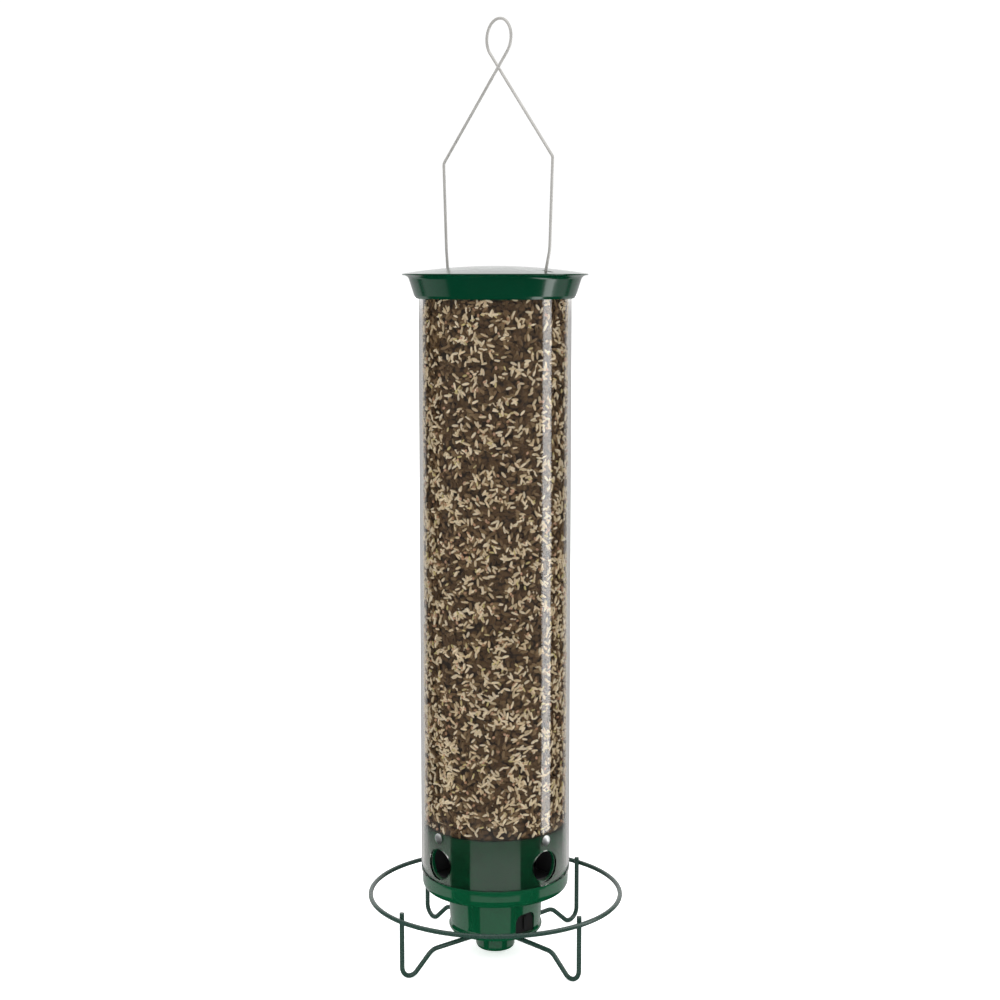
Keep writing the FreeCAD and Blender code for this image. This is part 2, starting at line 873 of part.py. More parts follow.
def make_motor_housing():
    part = body("motor_housing")
    wall = size("housing_wall")
    bead_top = housing_low + size("bead_height")
    bead_middle = housing_low + size("bead_height") / 2
    ledge_high = cover_top + size("cover_ledge_thick")
    profile = [
        (cover_radius + GAP, housing_low),
        (housing_low_radius - GAP, housing_low),
        Via(housing_low_radius + size("bead_proud"), bead_middle),
        (housing_low_radius, bead_top),
        (housing_top_radius, base_low),
        (housing_top_radius, floor_top),
        (flange_outside, floor_top),
        (flange_outside, flange_top),
        (housing_top_radius - wall, flange_top),
        (housing_top_radius - wall, base_low),
        (housing_low_radius - wall, bead_top),
        (housing_low_radius - wall, ledge_high),
        (ledge_radius, ledge_high),
        (ledge_radius, cover_top),
        (cover_radius + GAP, cover_top),
    ]
    turn(part, outline(part, "XZ_Plane", profile))
    spot = at_turn(cover_screw_radius, 45)
    hole = disc(part, "XY_Plane", spot, case_shank, (0, 0, cover_top))
    deep = size("cover_ledge_thick") - size("blind_floor")
    around(part, [pocket(part, hole, deep, reverse=True)], 4)
    diagonal = flange_screw_radius * math.sqrt(0.5)
    hole = disc(part, "XY_Plane", (diagonal, diagonal), flange_shank, (0, 0, flange_top))
    around(part, [pocket(part, hole, size("flange_thick"))], 4)
    margin = size("recess_margin")
    block_back = recess_back - size("recess_wall")
    block = box_outline(
        part,
        "YZ_Plane",
        (-recess_half - margin, cover_top),
        (recess_half + margin, recess_top + margin),
        (0, 0, block_back),
    )
    pad(part, block, housing_low_radius - block_back - size("recess_front_gap"))
    pocket(part, arch(part, recess_half, recess_low, recess_top, recess_back), reverse=True)
    bore = disc(part, "YZ_Plane", (0, socket_level), size("socket_width") / 2, (0, 0, recess_back))
    pocket(part, bore, size("recess_wall") + PAST)


def arch(part, half, low, high, level):
    """A door shape with rounded upper corners, on a plane square to X."""
    corner = size("recess_corner")
    bulge = corner * (1 - math.sqrt(0.5))
    points = [
        (-half, low),
        (half, low),
        (half, high - corner),
        Via(half - bulge, high - bulge),
        (half - corner, high),
        (corner - half, high),
        Via(bulge - half, high - bulge),
        (-half, high - corner),
    ]
    return outline(part, "YZ_Plane", points, (0, 0, level))


def make_bottom_cover():
    part = body("bottom_cover")
    plate = box_outline(part, "XZ_Plane", (bush_radius, housing_low), (cover_radius, cover_top))
    turn(part, plate)
    for angle in POST_TURNS:
        spot = at_turn(size("post_reach"), angle)
        post = disc(part, "XY_Plane", spot, size("post_width") / 2, (0, 0, cover_top))
        pad(part, post, size("plate_rise"))
        hole = disc(part, "XY_Plane", spot, case_shank, (0, 0, plate_low))
        pocket(part, hole, size("post_hole"))
    slot = disc(
        part,
        "XY_Plane",
        (0, -size("plunger_reach")),
        plunger_radius + RUN,
        (0, 0, cover_top),
    )
    pocket(part, slot, size("cover_thick") + PAST)
    spot = at_turn(cover_screw_radius, 45)
    hole = disc(part, "XY_Plane", spot, case_shank, (0, 0, cover_top))
    around(part, [pocket(part, hole, size("cover_thick") + PAST)], 4)
    sink_radius = size("cover_screw_head") / 2 + size("tip_gap")
    sink = disc(part, "XY_Plane", spot, sink_radius, (0, 0, housing_low))
    around(part, [pocket(part, sink, size("cover_screw_sink"), reverse=True)], 4)


def at_turn(reach, angle):
    """X and Y of a point at a distance from the axis, angle degrees from +X."""
    radians = math.radians(angle)
    return (reach * math.cos(radians), reach * math.sin(radians))


# A pan head: where its side ends and its crown begins, in shares of its height and radius.
HEAD_SIDE = 0.55
HEAD_BEND = (0.8, 0.9)
HEAD_FLAT = 0.5
# Radius and height of a pan head in shares of its shank's radius.
PAN_WIDE = 1.9
PAN_HIGH = 1.2


def screw(part, spot, seat, head, thick, shank, length, up=1):
    """A pan-headed screw standing on Z, its head above its seat, or below it if up is -1."""
    profile = [
        (0, seat - up * length),
        (shank, seat - up * length),
        (shank, seat),
        (head, seat),
        (head, seat + up * thick * HEAD_SIDE),
        Via(head * HEAD_BEND[0], seat + up * thick * HEAD_BEND[1]),
        (head * HEAD_FLAT, seat + up * thick),
        (0, seat + up * thick),
    ]
    drawing = outline(part, "XZ_Plane", profile, (spot[0], 0, -as_size(spot[1])))
    return turn(part, drawing)


def make_housing_screws():
    part = body("housing_screws")
    spot = at_turn(flange_screw_radius, 45)
    reach = size("flange_thick") + size("base_floor") - size("blind_floor") - size("tip_gap")
    head = flange_shank * PAN_WIDE
    thick = flange_shank * PAN_HIGH
    around(part, [screw(part, spot, flange_top, head, thick, flange_shank, reach)], 4)


def make_cover_screws():
    """Screws up through the bottom cover into the housing, their heads sunk from below."""
    part = body("cover_screws")
    spot = at_turn(cover_screw_radius, 45)
    sink = size("cover_screw_sink")
    hole = size("cover_thick") - sink + size("cover_ledge_thick") - size("blind_floor")
    reach = hole - size("tip_gap")
    head = size("cover_screw_head") / 2
    thick = sink - size("tip_gap") / 2
    feature = screw(part, spot, housing_low + sink, head, thick, case_shank, reach, up=-1)
    around(part, [feature], 4)


def make_shaft_bush():
    part = body("shaft_bush")
    flange = bush_radius + size("bush_flange_reach")
    profile = [
        (shaft_bore, housing_low),
        (bush_radius, housing_low),
        (bush_radius, cover_top),
        (flange, cover_top),
        (flange, cover_top + size("bush_flange")),
        (shaft_bore, cover_top + size("bush_flange")),
    ]
    turn(part, outline(part, "XZ_Plane", profile))


def make_gear_plate():
    part = body("gear_plate")
    edge = size("plate_width") / 2
    turn(part, box_outline(part, "XZ_Plane", (bush_radius, plate_low), (edge, plate_top)))
    lift = (0, 0, plate_top)
    deep = size("plate_thick") + PAST
    low = (size("plate_cut"), -edge)
    pocket(part, box_outline(part, "XY_Plane", low, (edge + PAST, edge), lift), deep)
    boss = disc(part, "XY_Plane", (-motor_reach, 0), motor_boss + size("tip_gap"), lift)
    pocket(part, boss, deep)
    for angle in POST_TURNS:
        spot = at_turn(size("post_reach"), angle)
        pocket(part, disc(part, "XY_Plane", spot, case_shank + GAP, lift), deep)
    for side in (1, -1):
        spot = (-motor_reach, side * motor_screw_reach())
        pocket(part, disc(part, "XY_Plane", spot, small_shank, lift), deep)


def motor_screw_reach():
    return motor_radius * size("motor_screw_share")


def make_plate_screws():
    """Headless screws through the plate into the cover's posts, flush under the cells."""
    part = body("plate_screws")
    length = size("plate_thick") + size("post_hole") - PAST
    for angle in POST_TURNS:
        spot = at_turn(size("post_reach"), angle)
        stud = disc(part, "XY_Plane", spot, case_shank, (0, 0, plate_top - length))
        pad(part, stud, length)


def make_plate_bush():
    part = body("plate_bush")
    turn(part, box_outline(part, "XZ_Plane", (shaft_bore, plate_low), (bush_radius, plate_top)))


def make_gear_motor():
    part = body("gear_motor")
    place = (-motor_reach, 0, 0)
    can_top = plate_top + size("motor_height")
    tail_top = can_top + size("motor_tail")
    corner = size("motor_edge")
    bore = motor_bore + size("tip_gap") / 2
    bore_top = plate_top + size("motor_shaft_depth")
    profile = [
        (bore, plate_low),
        (motor_boss, plate_low),
        (motor_boss, plate_top),
        (motor_radius, plate_top),
        (motor_radius, can_top - corner),
        (motor_radius - corner, can_top),
        (motor_boss, can_top),
        (motor_boss, tail_top),
        (0, tail_top),
        (0, bore_top),
        (bore, bore_top),
    ]
    turn(part, outline(part, "XZ_Plane", profile, place))
    for side in (1, -1):
        spot = (-motor_reach, side * motor_screw_reach())
        deep = size("motor_screw_depth")
        hole = disc(part, "XY_Plane", spot, small_shank, (0, 0, plate_top + deep))
        pocket(part, hole, deep + PAST)


def make_motor_screws():
    part = body("motor_screws")
    for side in (1, -1):
        spot = (-motor_reach, side * motor_screw_reach())
        reach = size("plate_thick") + size("motor_screw_depth") - 2 * size("tip_gap")
        head = small_shank * PAN_WIDE
        thick = small_shank * PAN_HIGH
        screw(part, spot, plate_low, head, thick, small_shank, reach, up=-1)


def make_motor_shaft():
    part = body("motor_shaft")
    low = gear_low - 2 * size("tip_gap")
    high = plate_top + size("motor_shaft_depth") - 2 * size("tip_gap")
    rod = box_outline(part, "XZ_Plane", (0, low), (motor_bore, high), (-motor_reach, 0, 0))
    turn(part, rod)


# Tooth depths below and above the pitch circle, in modules.
DEDENDUM = 1.15
ADDENDUM = 0.85
# Half the thickness of a tooth at its root, pitch circle and tip, in tooth steps.
ROOT_HALF = 0.30
PITCH_HALF = 0.21
TIP_HALF = 0.10
# How deep a tooth is sunk into its blank.
TOOTH_SUNK = 0.2


def tooth_corners(teeth, phase):
    """The corners of one straight-flanked tooth, and the radius of the blank it stands on."""
    module = float(size("gear_module"))
    pitch = module * float(teeth) / 2
    step = 2 * math.pi / int(float(teeth))
    blank = pitch - DEDENDUM * module
    tip = pitch + ADDENDUM * module
    flank = ((blank - TOOTH_SUNK, ROOT_HALF), (pitch, PITCH_HALF), (tip, TIP_HALF))
    corners = []
    for side, order in ((-1, flank), (1, flank[::-1])):
        for reach, share in order:
            angle = (phase + side * share) * step
            corners.append(Vector(reach * math.cos(angle), reach * math.sin(angle), 0))
    return corners, blank


def gear_solid(teeth, bore, centre, phase):
    """A spur gear: a root disc and its teeth, with a bore, standing on Z; phase in steps."""
    axis = Vector(float(centre), 0, float(gear_low))
    up = Vector(0, 0, 1)
    width = float(size("gear_width"))
    ring, blank_radius = tooth_corners(teeth, phase)
    tooth = Part.Face(Part.makePolygon([*ring, ring[0]])).extrude(Vector(0, 0, width))
    tooth.translate(axis)
    blank = Part.makeCylinder(blank_radius, width, axis, up)
    count = int(float(teeth))
    copies = []
    for index in range(count):
        copy = tooth.copy()
        copy.rotate(axis, up, index * 360 / count)
        copies.append(copy)
    wheel = blank.multiFuse(copies).removeSplitter()
    return wheel.cut(Part.makeCylinder(float(bore), width, axis, up))


def make_drive_gear():
    """A wheel pressed on the perch shaft, with a hub that stands on the lower bush."""
    wheel = gear_solid(size("gear_teeth"), shaft_radius, 0, 0)
    hub_low = float(cover_top + size("bush_flange") + size("tip_gap") / 2)
    hub_high = float(plate_low - size("tip_gap"))
    radius = float(size("gear_hub_width")) / 2
    hub = Part.makeCylinder(radius, hub_high - hub_low, Vector(0, 0, hub_low))
    hole = Part.makeCylinder(float(shaft_radius), hub_high - hub_low, Vector(0, 0, hub_low))
    solid("drive_gear", wheel.fuse(hub.cut(hole)).removeSplitter())


def make_motor_pinion():
    """Meshes with the wheel on the line between the two axes, a space against a tooth."""
    wheel_tooth_at_axis = int(float(size("gear_teeth"))) % 2 == 0
    phase = 0.5 if wheel_tooth_at_axis else 0
    solid("motor_pinion", gear_solid(size("pinion_teeth"), motor_bore, -motor_reach, phase))


def make_drive_shaft():
    part = body("drive_shaft")
    profile = [
        (0, shaft_low),
        (shaft_radius, shaft_low),
        (shaft_radius, plate_top - size("tip_gap")),
        (0, plate_top - size("tip_gap")),
    ]
    turn(part, outline(part, "XZ_Plane", profile))
    cut = box_outline(
        part,
        "XY_Plane",
        (size("shaft_flat"), -shaft_radius),
        (shaft_radius + PAST, shaft_radius),
        (0, 0, knob_top),
    )
    pocket(part, cut, knob_top - shaft_low)
    hole = disc(part, "XY_Plane", (0, 0), size("shaft_screw_shank") / 2, (0, 0, shaft_low))
    pocket(part, hole, size("shaft_screw_depth"), reverse=True)


def make_shaft_screw():
    part = body("shaft_screw")
    thick = size("shaft_screw_thick")
    seat = shaft_low - size("washer_thick")
    shank = size("shaft_screw_shank") / 2
    head = size("shaft_screw_head") / 2
    reach = size("washer_thick") + size("shaft_screw_depth") - PAST
    screw(part, (0, 0), seat, head, thick, shank, reach, up=-1)


def make_spring_washer():
    part = body("spring_washer")
    low = shaft_low - size("washer_thick")
    hole = size("shaft_screw_shank") / 2
    outer = well_radius - 2 * GAP
    turn(part, box_outline(part, "XZ_Plane", (hole, low), (outer, shaft_low)))


def make_perch_spring():
    """Holds the perch up against its stop until something heavy lands on it."""
    wire = float(size("spring_wire")) / 2
    low = float(shaft_low) + wire
    rise = float(well_top) - wire - low
    radius = (float(well_radius) + float(shaft_radius)) / 2
    helix = Part.makeLongHelix(rise / float(size("spring_turns")), rise, radius)
    section = Part.Wire(Part.makeCircle(wire, Vector(radius, 0, 0), Vector(0, 1, 0)))
    coil = Part.Wire(helix.Edges).makePipeShell([section], True, True)
    coil.translate(Vector(0, 0, low))
    solid("perch_spring", coil)


def make_perch_hub():
    part = body("perch_hub")
    low = size("knob_low")
    bore = shaft_radius + RUN
    profile = [
        (well_radius, low),
        (knob_radius, low),
        (knob_radius, knob_top),
        (bore, knob_top),
        (bore, well_top),
        (well_radius, well_top),
    ]
    turn(part, outline(part, "XZ_Plane", profile))
    corner = float(knob_radius)
    bottom = float(low)
    round_edges(
        part,
        size("knob_corner"),
        lambda reach, level, edge: abs(level - bottom) < 1e-3 and abs(reach - corner) < 1e-3,
    )
    flat_side = size("shaft_flat") + RUN
    half = size("key_width") / 2
    low_corner = (flat_side, -half)
    key = box_outline(part, "XY_Plane", low_corner, (bore + PAST, half), (0, 0, well_top))
    pad(part, key, knob_top - well_top)
    for angle in LEG_TURNS.values():
        aside, ahead = at_turn(size("leg_root"), 90 - angle)
        spot = (0, size("leg_rise"))
        hole = disc(part, "XZ_Plane", spot, size("leg_wire") / 2, (aside, 0, ahead))
        heading = Rotation(Vector(0, 1, 0), angle)
        hole.AttachmentOffset = Placement(hole.AttachmentOffset.Base, heading)
        pocket(part, hole, reverse=True)


def make_perch_hub_plug():
    part = body("perch_hub_plug")
    low = size("knob_low")
    turn(part, box_outline(part, "XZ_Plane", (0, low), (well_radius, plug_top)))


def make_perch_leg(name, angle):
    """Wire from the hub outwards, down to a foot and up inside the perch ring."""
    wire = float(size("leg_wire"))
    rise = float(size("leg_rise"))
    upright = float(size("ring_width") - size("ring_wire")) / 2 - wire / 2 + WELD_SUNK
    bend = float(size("foot_bend"))
    slope = math.radians(float(size("leg_slope")))
    sole = wire / 2
    middle = Vector(upright - bend, 0, sole + bend)
    touch = middle - Vector(math.sin(slope), 0, math.cos(slope)) * bend
    run = (rise - touch.z) / math.sin(slope)
    knee = touch + Vector(-math.cos(slope), 0, math.sin(slope)) * run
    heel = touch - Vector(-math.cos(slope), 0, math.sin(slope)) * bend * math.tan(slope / 2)
    toe = Vector(upright, 0, sole)
    corners = [
        Vector(float(size("leg_root")), 0, rise),
        knee,
        heel,
        toe,
        Vector(upright, 0, float(size("leg_top"))),
    ]
    turns = [float(size("knee_bend")), bend * FOOT_BEND, bend * FOOT_BEND]
    part = solid(f"perch_leg_{name}", bent_wire(corners, turns, wire))
    part.Placement = Placement(Vector(), Rotation(Vector(0, 0, 1), angle - 90))


def make_perch_ring():
    ring = doc.addObject("Part::Torus", "perch_ring")
    ring.Label = "perch_ring"
    bind(ring, "Radius1", size("ring_width") / 2)
    bind(ring, "Radius2", size("ring_wire") / 2)
    bind(ring, "Placement.Base.z", size("ring_rise"))


def make_battery_cell(number, angle):
    part = body(f"battery_cell_{number}")
    x, y = at_turn(size("cell_reach"), angle)
    button = size("cell_button") / 2
    profile = [
        (0, plate_top),
        (cell_radius, plate_top),
        (cell_radius, cell_top),
        (button, cell_top),
        (button, board_low),
        (0, board_low),
    ]
    turn(part, outline(part, "XZ_Plane", profile, (x, 0, -y)))


def make_board_posts():
    part = body("board_posts")
    for spot in board_post_spots():
        post = disc(part, "XY_Plane", spot, size("board_post_width") / 2, (0, 0, plate_top))
        pad(part, post, board_low - plate_top)
        hole = disc(part, "XY_Plane", spot, small_shank, (0, 0, board_low))
        pocket(part, hole, size("board_screw_depth"))


def board_post_spots():
    across = motor_radius * size("board_post_share")
    reach = size("board_post_reach")
    return [(-across, reach), (-across, -reach), (motor_radius, 0)]


def make_circuit_board():
    part = body("circuit_board")
    edge = size("plate_width") / 2 - size("board_inset")
    turn(part, box_outline(part, "XZ_Plane", (0, board_low), (edge, board_top)))
    lift = (0, 0, board_top)
    deep = size("board_thick") + PAST
    side = motor_reach - motor_radius + size("board_side_reach")
    cut = box_outline(part, "XY_Plane", (-edge - PAST, -edge), (-side, edge), lift)
    pocket(part, cut, deep)
    bite = disc(part, "XY_Plane", (-motor_reach, 0), motor_radius + size("board_gap"), lift)
    pocket(part, bite, deep)
    for spot in board_post_spots():
        pocket(part, disc(part, "XY_Plane", spot, small_shank, lift), deep)


def make_board_screws():
    part = body("board_screws")
    head = small_shank * PAN_WIDE
    thick = small_shank * PAN_HIGH
    for spot in board_post_spots():
        screw(part, spot, board_top, head, thick, small_shank, size("board_screw_depth"))


# Where the parts stand on the board: two opposite corners, or a middle.
RELAY = ((3, 8), (17, 18))
CAPACITOR = (22, -6)
PLUG = ((4, -20), (14, -14))


def make_board_parts():
    """A relay, a capacitor and a plug for the leads, soldered to the board."""
    part = body("board_parts")
    lift = (0, 0, board_top)
    relay = box_outline(part, "XY_Plane", RELAY[0], RELAY[1], lift)
    pad(part, relay, size("relay_height"))
    capacitor = disc(part, "XY_Plane", CAPACITOR, size("capacitor_width") / 2, lift)
    pad(part, capacitor, size("capacitor_height"))
    plug = box_outline(part, "XY_Plane", PLUG[0], PLUG[1], lift)
    pad(part, plug, size("plug_height"))


def make_charge_socket():
    """A barrel with a centre pin, in the back of the charging recess."""
    part = body("charge_socket")
    outer = size("socket_width") / 2
    bore = size("socket_bore") / 2
    pin = size("socket_pin") / 2
    pin_tip = recess_back - size("socket_pin_inset")
    inner_end = recess_back - size("socket_depth")
    outer_end = inner_end - size("socket_back")
    profile = [
        (outer_end, 0),
        (pin_tip, 0),
        (pin_tip, pin),
        (inner_end, pin),
        (inner_end, bore),
        (recess_back, bore),
        (recess_back, outer),
        (outer_end, outer),
    ]
    turn(part, outline(part, "XZ_Plane", profile, (0, socket_level, 0)), "H_Axis")


def make_charge_bung():
    """A rubber cover that fills the recess, with an upright rib to pull it out by."""
    part = body("charge_bung")
    start = recess_back + size("bung_start")
    face = size("bung_face")
    drawing = arch(part, recess_half - GAP, recess_low + GAP, recess_top - GAP, start)
    pad(part, drawing, face - start)
    half = size("bung_rib_width") / 2
    inset = size("bung_rib_inset")
    low = (-half, recess_low + inset)
    high = (half, recess_top - inset)
    pad(part, box_outline(part, "YZ_Plane", low, high, (0, 0, face)), size("bung_rib"))


def make_weight_switch():
    """A small switch over the plunger, hung from the gear plate."""
    part = body("weight_switch")
    near = size("plunger_reach") - size("switch_inset")
    half = size("switch_length") / 2
    lift = (0, 0, switch_low)
    case = box_outline(part, "XY_Plane", (-half, -near - size("switch_depth")), (half, -near), lift)
    pad(part, case, size("switch_height"))
    spot = (0, -size("plunger_reach"))
    hole = disc(part, "XY_Plane", spot, plunger_radius + RUN, lift)
    pocket(part, hole, size("switch_height") - size("switch_roof"), reverse=True)


def make_switch_plunger():
    """A pin that rides on the hub of the perch and follows it down."""
    part = body("switch_plunger")
    spot = (0, -size("plunger_reach"))
    pin = disc(part, "XY_Plane", spot, plunger_radius, (0, 0, knob_top + RUN))
    pin_top = plate_low - size("switch_roof") - size("switch_travel_gap")
    pad(part, pin, pin_top - knob_top)


make_seed_tube()
make_feeding_base()
make_seed_baffle()
for quarter in QUARTERS:
    make_port_hood(quarter, QUARTERS[quarter])
    make_perch_leg(quarter, LEG_TURNS[quarter])
make_tube_screws()
make_seed_fill()
make_bail_wire()
make_cap()
make_motor_housing()
make_bottom_cover()
make_housing_screws()
make_cover_screws()
make_shaft_bush()
make_gear_plate()
make_plate_screws()
make_plate_bush()
make_gear_motor()
make_motor_screws()
make_motor_shaft()
make_motor_pinion()
make_drive_gear()
make_drive_shaft()
make_shaft_screw()
make_spring_washer()
make_perch_spring()
make_perch_hub()
make_perch_hub_plug()
make_perch_ring()
for cell_number, cell_turn in enumerate(CELL_TURNS, start=1):
    make_battery_cell(cell_number, cell_turn)
make_board_posts()
make_circuit_board()
make_board_screws()
make_board_parts()
make_charge_socket()
make_charge_bung()
make_weight_switch()
make_switch_plunger()
doc.recompute()

for item in doc.Objects:
    faults = {"Invalid", "Error"} & set(item.State)
    if faults:
        raise RuntimeError(f"{item.Name} is {faults}")

top_kinds = ("PartDesign::Body", "Part::Feature", "Part::Torus")
pieces = [item for item in doc.Objects if item.TypeId in top_kinds]
os.makedirs("parts", exist_ok=True)
for piece in pieces:
    if piece.Shape.isNull() or not piece.Shape.isValid():
        raise RuntimeError(f"{piece.Label} has no valid shape")
    if not piece.Shape.Solids:
        raise RuntimeError(f"{piece.Label} has no solid")
for piece in pieces:
    piece.Shape.exportStep(f"parts/{piece.Label}.step")
print(f"{len(pieces)} pieces")
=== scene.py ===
"""The looks of a hanging tube feeder: seed in a clear tube, a green cap and base, a bail and a perch."""

import json
import math
import random

import bmesh
import bpy
from mathutils import Matrix, Vector, noise


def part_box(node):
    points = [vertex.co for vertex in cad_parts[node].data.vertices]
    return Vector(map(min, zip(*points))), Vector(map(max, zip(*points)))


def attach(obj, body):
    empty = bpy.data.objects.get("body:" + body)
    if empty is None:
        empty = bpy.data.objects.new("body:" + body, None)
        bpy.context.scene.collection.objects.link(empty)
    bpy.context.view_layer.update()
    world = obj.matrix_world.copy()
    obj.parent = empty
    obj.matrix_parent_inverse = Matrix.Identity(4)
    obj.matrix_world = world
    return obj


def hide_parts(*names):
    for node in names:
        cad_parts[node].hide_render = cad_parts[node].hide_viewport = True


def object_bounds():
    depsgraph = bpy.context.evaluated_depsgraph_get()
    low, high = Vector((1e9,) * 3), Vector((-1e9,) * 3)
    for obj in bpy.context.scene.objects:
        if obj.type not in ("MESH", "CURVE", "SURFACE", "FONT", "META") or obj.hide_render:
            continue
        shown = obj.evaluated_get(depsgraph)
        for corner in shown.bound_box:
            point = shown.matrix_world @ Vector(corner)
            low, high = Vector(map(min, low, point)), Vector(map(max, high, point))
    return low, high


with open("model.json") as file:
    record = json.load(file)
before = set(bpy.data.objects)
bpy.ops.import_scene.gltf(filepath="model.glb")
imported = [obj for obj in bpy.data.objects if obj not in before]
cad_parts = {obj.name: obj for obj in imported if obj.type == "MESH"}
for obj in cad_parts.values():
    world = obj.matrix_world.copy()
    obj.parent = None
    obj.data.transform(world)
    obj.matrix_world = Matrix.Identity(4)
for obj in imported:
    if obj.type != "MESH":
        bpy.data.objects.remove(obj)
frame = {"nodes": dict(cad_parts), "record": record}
cad_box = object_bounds()

tube_low, tube_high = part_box("seed_tube")
seed_low, seed_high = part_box("seed_fill")
base_low, base_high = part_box("feeding_base")
seed_radius = seed_high.x
feeder_top = cad_box[1].z

VIEW_AZIMUTH = math.radians(48.3)
towards_view = Vector((math.sin(VIEW_AZIMUTH), -math.cos(VIEW_AZIMUTH), 0))
right_of_view = Vector((math.cos(VIEW_AZIMUTH), math.sin(VIEW_AZIMUTH), 0))

MILLIMETRE = 0.001


# ---------------------------------------------------------------- materials


class Value:
    """A number that varies over a surface. Arithmetic on it adds the Math nodes that work it out."""

    def __init__(self, finish, socket):
        self.finish = finish
        self.socket = socket

    def maths(self, operation, first, second):
        return self.finish.node("ShaderNodeMath", {"operation": operation}, {0: first, 1: second})

    def __add__(self, other):
        return self.maths("ADD", self, other)

    def __sub__(self, other):
        return self.maths("SUBTRACT", self, other)

    def __rsub__(self, other):
        return self.maths("SUBTRACT", other, self)

    def __mul__(self, other):
        return self.maths("MULTIPLY", self, other)

    def __truediv__(self, other):
        return self.maths("DIVIDE", self, other)

    def __pow__(self, other):
        return self.maths("POWER", self, other)

    def __gt__(self, other):
        return self.maths("GREATER_THAN", self, other)

    __radd__ = __add__
    __rmul__ = __mul__


class Nodes:
    """The nodes of a material or of the studio's surround, added one at a time."""

    def __init__(self, tree):
        self.tree = tree

    def node(self, kind, settings=None, sockets=None, output=0):
        """Adds a node, sets it, fills or links its sockets, and gives one of its outputs."""
        made = self.tree.nodes.new(kind)
        for name, setting in (settings or {}).items():
            setattr(made, name, setting)
        for name, given in (sockets or {}).items():
            self.join(made.inputs[name], given)
        return Value(self, made.outputs[output])

    def join(self, socket, given):
        if isinstance(given, Value):
            self.tree.links.new(given.socket, socket)
        else:
            socket.default_value = given

    def fade(self, value, low, high):
        """0 where the value is at low, 1 where it is at high, and a soft step between them."""
        settings = {"interpolation_type": "SMOOTHSTEP"}
        return self.node(
            "ShaderNodeMapRange", settings, {"Value": value, "From Min": low, "From Max": high}
        )

    def blend(self, first, second, share):
        """One colour turning into another as share goes from 0 to 1."""
        settings = {"data_type": "RGBA"}
        return self.node("ShaderNodeMix", settings, {0: share, 6: first, 7: second}, 2)


class Finish(Nodes):
    """A material named after its slot: a Principled shader taking numbers, colours and Values."""

    def __init__(self, name, sockets):
        self.material = bpy.data.materials.new(name)
        self.material.use_nodes = True
        super().__init__(self.material.node_tree)
        self.shader = self.tree.nodes["Principled BSDF"]
        self.place = self.node("ShaderNodeTexCoord", output="Object")
        self.set(sockets)

    def set(self, sockets):
        for name, given in sockets.items():
            self.join(self.shader.inputs[name], given)

    def mottle(self, size, detail=3.0, stretch=(1, 1, 1)):
        """Cloudy noise whose patches are about size across, drawn out along an axis by stretch."""
        scale = tuple(1 / (size * s) for s in stretch)
        place = self.node("ShaderNodeMapping", {}, {"Vector": self.place, "Scale": scale})
        sockets = {"Vector": place, "Scale": 1.0, "Detail": detail, "Roughness": 0.55}
        return self.node("ShaderNodeTexNoise", {}, sockets)

    def cells(self, size, output, stretch=(1, 1, 1)):
        """A bed of rounded cells, each about size across."""
        scale = tuple(1 / (size * s) for s in stretch)
        place = self.node("ShaderNodeMapping", {}, {"Vector": self.place, "Scale": scale})
        return self.node("ShaderNodeTexVoronoi", {}, {"Vector": place, "Scale": 1.0}, output)

    def relief(self, height, depth):
        """Raises the surface by up to depth, in metres, where height is 1."""
        bump = self.node("ShaderNodeBump", {}, {"Height": height, "Distance": depth, "Strength": 1.0})
        self.set({"Normal": bump})

    def facing_up(self):
        """1 on level upper faces, 0 on walls and undersides."""
        normal = self.node("ShaderNodeNewGeometry", output="Normal")
        return self.node("ShaderNodeSeparateXYZ", {}, {"Vector": normal}, "Z")


def colour(red, green, blue):
    return (red, green, blue, 1.0)


def clear_tube():
    """Extruded clear plastic with faint draw lines along it and a trace of handling haze."""
    finish = Finish("clear_tube", {"Transmission Weight": 1.0, "IOR": 1.49, "Roughness": 0.0})
    haze = finish.fade(finish.mottle(0.05, 5.0), 0.45, 0.75)
    finish.set({"Base Color": finish.blend(colour(0.97, 0.955, 0.93), colour(0.93, 0.91, 0.87), haze)})
    draw_lines = finish.mottle(0.004, 2.0, (1, 1, 60))
    finish.relief(draw_lines, 0.000012)
    return finish


def green_plastic():
    """Deep green gloss moulding, with a little flow in its surface and dust where it faces up."""
    finish = Finish("green_plastic", {"IOR": 1.72})
    tone = finish.mottle(0.02, 4.0)
    green = finish.blend(colour(0.001, 0.042, 0.015), colour(0.002, 0.056, 0.022), tone)
    dust = finish.fade(finish.facing_up(), 0.7, 1.0) * finish.mottle(0.006, 6.0) * 0.3
    finish.set({"Base Color": finish.blend(green, colour(0.22, 0.22, 0.18), dust)})
    finish.set({"Roughness": 0.05 + 0.05 * finish.mottle(0.012, 6.0) + 0.4 * dust})
    finish.relief(finish.mottle(0.03, 2.0), 0.00008)
    return finish


def green_cap():
    """Deep green stove enamel on spun metal: a faint orange peel, and dust on the dome."""
    finish = Finish("green_cap", {"IOR": 1.42, "Coat Roughness": 0.06})
    tone = finish.mottle(0.03, 4.0)
    green = finish.blend(colour(0.0, 0.022, 0.009), colour(0.0, 0.029, 0.013), tone)
    dust = finish.fade(finish.facing_up(), 0.8, 1.0) * finish.mottle(0.008, 6.0) * 0.4
    finish.set({"Base Color": finish.blend(green, colour(0.24, 0.24, 0.2), dust)})
    finish.set({"Coat Weight": 0.15 - 0.12 * dust})
    finish.set({"Roughness": 0.12 + 0.06 * finish.mottle(0.01, 6.0) + 0.3 * dust})
    finish.relief(finish.mottle(0.0016, 2.0), 0.000012)
    return finish


